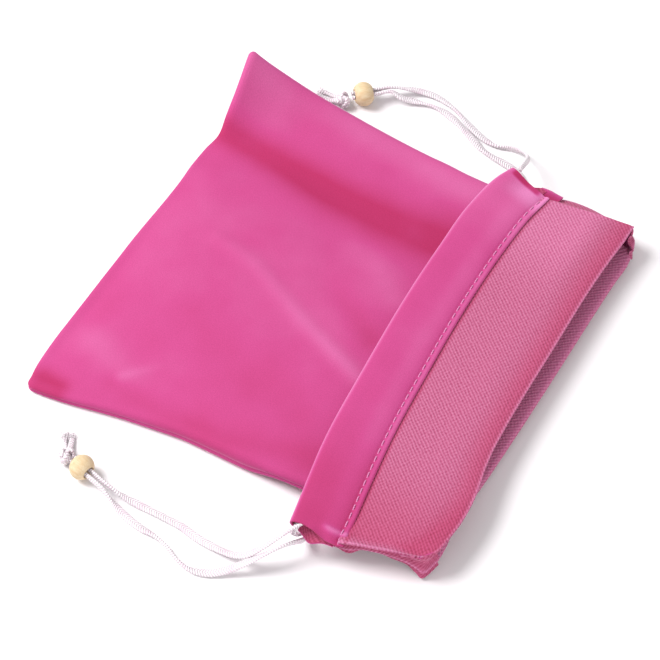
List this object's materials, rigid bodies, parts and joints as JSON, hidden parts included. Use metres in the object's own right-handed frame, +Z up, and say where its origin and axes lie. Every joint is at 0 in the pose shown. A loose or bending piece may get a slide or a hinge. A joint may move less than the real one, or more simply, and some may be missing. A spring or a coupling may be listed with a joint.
{
  "type": "drawstring gift pouch",
  "caption": "Flat velvet pouch whose mouth is turned out into a cuff, with a stitched channel, drawstrings leaving at both sides, wooden beads and knots.",
  "frame": {"origin": "on the table, under the middle of the folded pouch without its free cords", "axes": "+X from the closed end to the mouth, +Y across the pouch, +Z up through its thickness"},
  "size_m": [0.1532, 0.2111, 0.0233],
  "materials": {
    "velvet": "short-pile velvet with a soft sheen",
    "knit_backing": "matte knitted backing with fine diagonal ribs",
    "thread": "polyester sewing thread",
    "satin_cord": "flat satin braid with fine cross ribs",
    "bead_wood": "unvarnished pale wood"
  },
  "bodies": {
    "pouch_back": {"back_panel": "velvet", "front_panel_toe": "velvet", "bottom_seam": "thread", "near_side_seam": "thread", "far_side_seam": "thread"},
    "pouch_front": {"front_panel": "velvet"},
    "front_cuff": {"front_cuff": "knit_backing", "front_hem": "velvet", "front_hem_stitching": "thread", "front_cuff_near_allowance": "knit_backing", "front_cuff_far_allowance": "knit_backing", "near_cord_crossing": "satin_cord", "far_cord_crossing": "satin_cord"},
    "back_cuff": {"back_cuff": "knit_backing", "back_hem": "velvet", "back_hem_stitching": "thread", "back_cuff_near_allowance": "knit_backing", "back_cuff_far_allowance": "knit_backing"},
    "near_front_run": {"near_cord_front_run": "satin_cord"},
    "near_back_run": {"near_cord_back_run": "satin_cord"},
    "near_strands": {"near_cord_front_strand": "satin_cord", "near_cord_back_strand": "satin_cord", "near_knot": "satin_cord", "near_cord_ends": "satin_cord"},
    "near_bead": {"near_bead": "bead_wood"},
    "far_front_run": {"far_cord_front_run": "satin_cord"},
    "far_back_run": {"far_cord_back_run": "satin_cord"},
    "far_strands": {"far_cord_front_strand": "satin_cord", "far_cord_back_strand": "satin_cord", "far_knot": "satin_cord", "far_cord_ends": "satin_cord"},
    "far_bead": {"far_bead": "bead_wood"}
  },
  "joints": [
    {"name": "mouth_open", "type": "hinge", "parent": "pouch_back", "child": "pouch_front", "pos_m": [-0.0625, 0, 0.0165], "axis": [0, -1, 0], "range_deg": [0, 10]},
    {"name": "front_cuff_turn", "type": "hinge", "parent": "pouch_front", "child": "front_cuff", "pos_m": [0.0754, 0, 0.01175], "axis": [0, 1, 0], "range_deg": [0, 180], "deforming": ["near_cord_crossing", "far_cord_crossing"]},
    {"name": "back_cuff_turn", "type": "hinge", "parent": "pouch_back", "child": "back_cuff", "pos_m": [0.0766, 0, 0.00375], "axis": [0, -1, 0], "range_deg": [0, 180]},
    {"name": "near_pull", "type": "slide", "parent": "front_cuff", "child": "near_front_run", "axis": [0, -1, 0], "range_m": [0, 0.012]},
    {"name": "near_pull_back", "type": "slide", "parent": "back_cuff", "child": "near_back_run", "axis": [0, -1, 0], "range_m": [0, 0.012]},
    {"name": "near_strands_swing", "type": "hinge", "parent": "near_front_run", "child": "near_strands", "pos_m": [0.0335, -0.0785, 0.01175], "axis": [0, 1, 0], "range_deg": [-180, 0]},
    {"name": "near_bead_slide", "type": "slide", "parent": "near_strands", "child": "near_bead", "axis": [0.9703, -0.2419, 0], "range_m": [0, 0.006]},
    {"name": "far_pull", "type": "slide", "parent": "front_cuff", "child": "far_front_run", "axis": [0, 1, 0], "range_m": [0, 0.012]},
    {"name": "far_pull_back", "type": "slide", "parent": "back_cuff", "child": "far_back_run", "axis": [0, 1, 0], "range_m": [0, 0.012]},
    {"name": "far_strands_swing", "type": "hinge", "parent": "far_front_run", "child": "far_strands", "pos_m": [0.0265, 0.0785, 0.01175], "axis": [0, 1, 0], "range_deg": [-180, 0]},
    {"name": "far_bead_slide", "type": "slide", "parent": "far_strands", "child": "far_bead", "axis": [0.7431, 0.6691, 0], "range_m": [0, 0.006]}
  ],
  "couplings": [
    {"joint": "back_cuff_turn", "follows": "front_cuff_turn", "ratio": 1},
    {"joint": "near_strands_swing", "follows": "front_cuff_turn", "ratio": -1},
    {"joint": "far_strands_swing", "follows": "front_cuff_turn", "ratio": -1},
    {"joint": "near_pull_back", "follows": "near_pull", "ratio": 1},
    {"joint": "far_pull_back", "follows": "far_pull", "ratio": 1}
  ]
}
